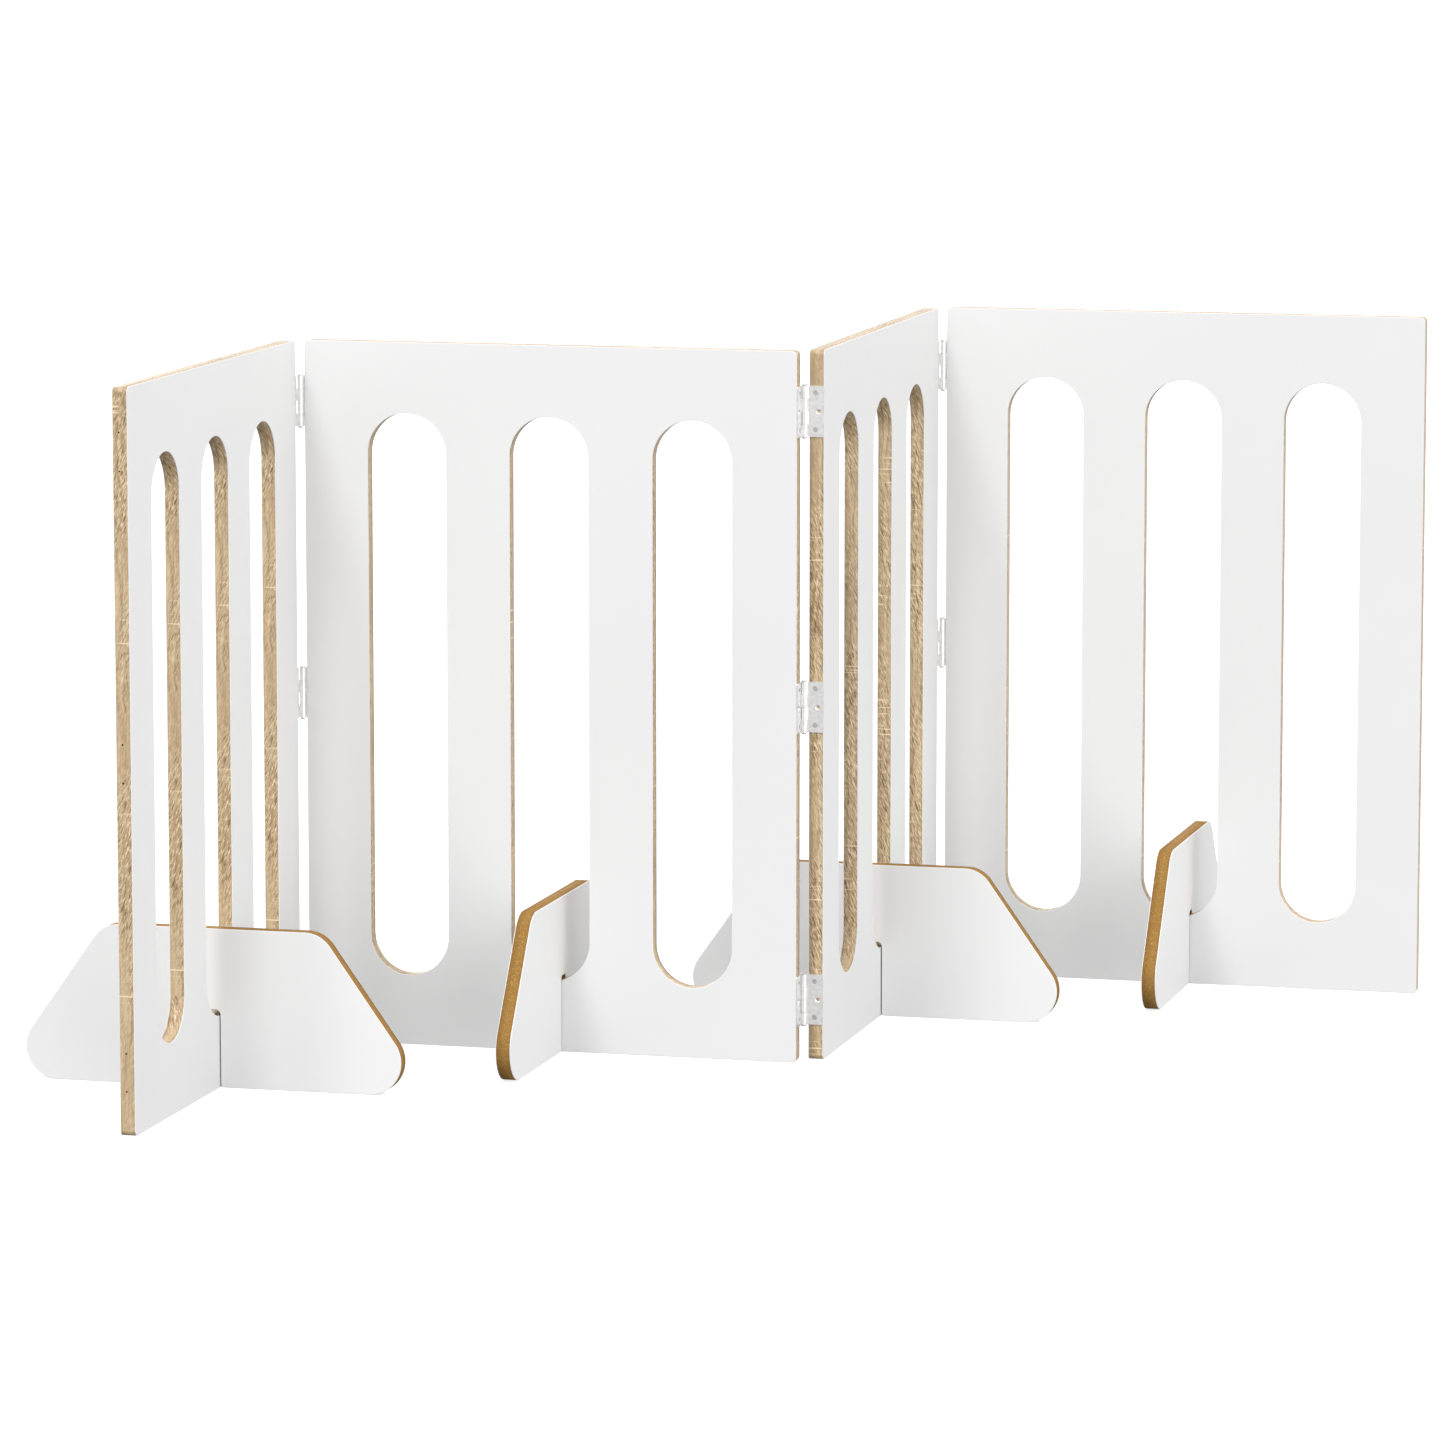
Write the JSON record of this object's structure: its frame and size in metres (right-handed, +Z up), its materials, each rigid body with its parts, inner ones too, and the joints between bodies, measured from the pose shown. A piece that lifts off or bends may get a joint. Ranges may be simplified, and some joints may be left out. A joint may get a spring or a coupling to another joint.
{
  "type": "pet gate",
  "caption": "Free-standing folding pet gate: slotted board panels hinged in a zigzag, with lift-off board feet straddling the bottom rails.",
  "frame": {"origin": "centre of the bounding box of the gate, at floor level, with the corners folded to 90 degrees", "axes": "+Z up, +X along the second and fourth panels towards the last panel's outer edge, +Y along the first and third panels, away from the first panel's outer edge"},
  "size_m": [1.2336, 1.2336, 0.7],
  "materials": {
    "white_laminate": "matt white laminate on 15 mm board",
    "oak_edge": "pale oak decor edge",
    "mdf_edge": "raw brown board edge",
    "hinge_steel": "zinc plated sheet",
    "pin_steel": "zinc plated",
    "screw_steel": "zinc plated"
  },
  "bodies": {
    "first_panel": {"panel_1": "white_laminate", "hinge_12_bottom_leaf_1": "hinge_steel", "hinge_12_middle_leaf_1": "hinge_steel", "hinge_12_top_leaf_1": "hinge_steel", "screws_panel_1_right": "screw_steel"},
    "second_panel": {"panel_2": "white_laminate", "hinge_12_bottom_leaf_2": "hinge_steel", "hinge_12_middle_leaf_2": "hinge_steel", "hinge_12_top_leaf_2": "hinge_steel", "hinge_12_bottom_pin": "pin_steel", "hinge_12_middle_pin": "pin_steel", "hinge_12_top_pin": "pin_steel", "hinge_23_bottom_leaf_2": "hinge_steel", "hinge_23_middle_leaf_2": "hinge_steel", "hinge_23_top_leaf_2": "hinge_steel", "hinge_23_bottom_pin": "pin_steel", "hinge_23_middle_pin": "pin_steel", "hinge_23_top_pin": "pin_steel", "screws_panel_2_left": "screw_steel", "screws_panel_2_right": "screw_steel"},
    "third_panel": {"panel_3": "white_laminate", "hinge_23_bottom_leaf_3": "hinge_steel", "hinge_23_middle_leaf_3": "hinge_steel", "hinge_23_top_leaf_3": "hinge_steel", "hinge_34_bottom_leaf_3": "hinge_steel", "hinge_34_middle_leaf_3": "hinge_steel", "hinge_34_top_leaf_3": "hinge_steel", "screws_panel_3_left": "screw_steel", "screws_panel_3_right": "screw_steel"},
    "fourth_panel": {"panel_4": "white_laminate", "hinge_34_bottom_leaf_4": "hinge_steel", "hinge_34_middle_leaf_4": "hinge_steel", "hinge_34_top_leaf_4": "hinge_steel", "hinge_34_bottom_pin": "pin_steel", "hinge_34_middle_pin": "pin_steel", "hinge_34_top_pin": "pin_steel", "screws_panel_4_left": "screw_steel"},
    "first_foot": {"foot_1": "white_laminate"},
    "second_foot": {"foot_2": "white_laminate"},
    "third_foot": {"foot_3": "white_laminate"},
    "fourth_foot": {"foot_4": "white_laminate"}
  },
  "joints": [
    {"name": "fold_12", "type": "hinge", "parent": "second_panel", "child": "first_panel", "pos_m": [-0.41523, -0.11378, 0.35], "axis": [0, 0, -1], "range_deg": [-15, 90]},
    {"name": "fold_23", "type": "hinge", "parent": "second_panel", "child": "third_panel", "pos_m": [0.09077, -0.09077, 0.35], "axis": [0, 0, -1], "range_deg": [-15, 90]},
    {"name": "fold_34", "type": "hinge", "parent": "third_panel", "child": "fourth_panel", "pos_m": [0.11378, 0.41523, 0.35], "axis": [0, 0, 1], "range_deg": [-15, 90]},
    {"name": "foot_lift_1", "type": "slide", "parent": "first_panel", "child": "first_foot", "axis": [0, 0, 1], "range_m": [0, 0.09]},
    {"name": "foot_lift_2", "type": "slide", "parent": "second_panel", "child": "second_foot", "axis": [0, 0, 1], "range_m": [0, 0.09]},
    {"name": "foot_lift_3", "type": "slide", "parent": "third_panel", "child": "third_foot", "axis": [0, 0, 1], "range_m": [0, 0.09]},
    {"name": "foot_lift_4", "type": "slide", "parent": "fourth_panel", "child": "fourth_foot", "axis": [0, 0, 1], "range_m": [0, 0.09]}
  ]
}
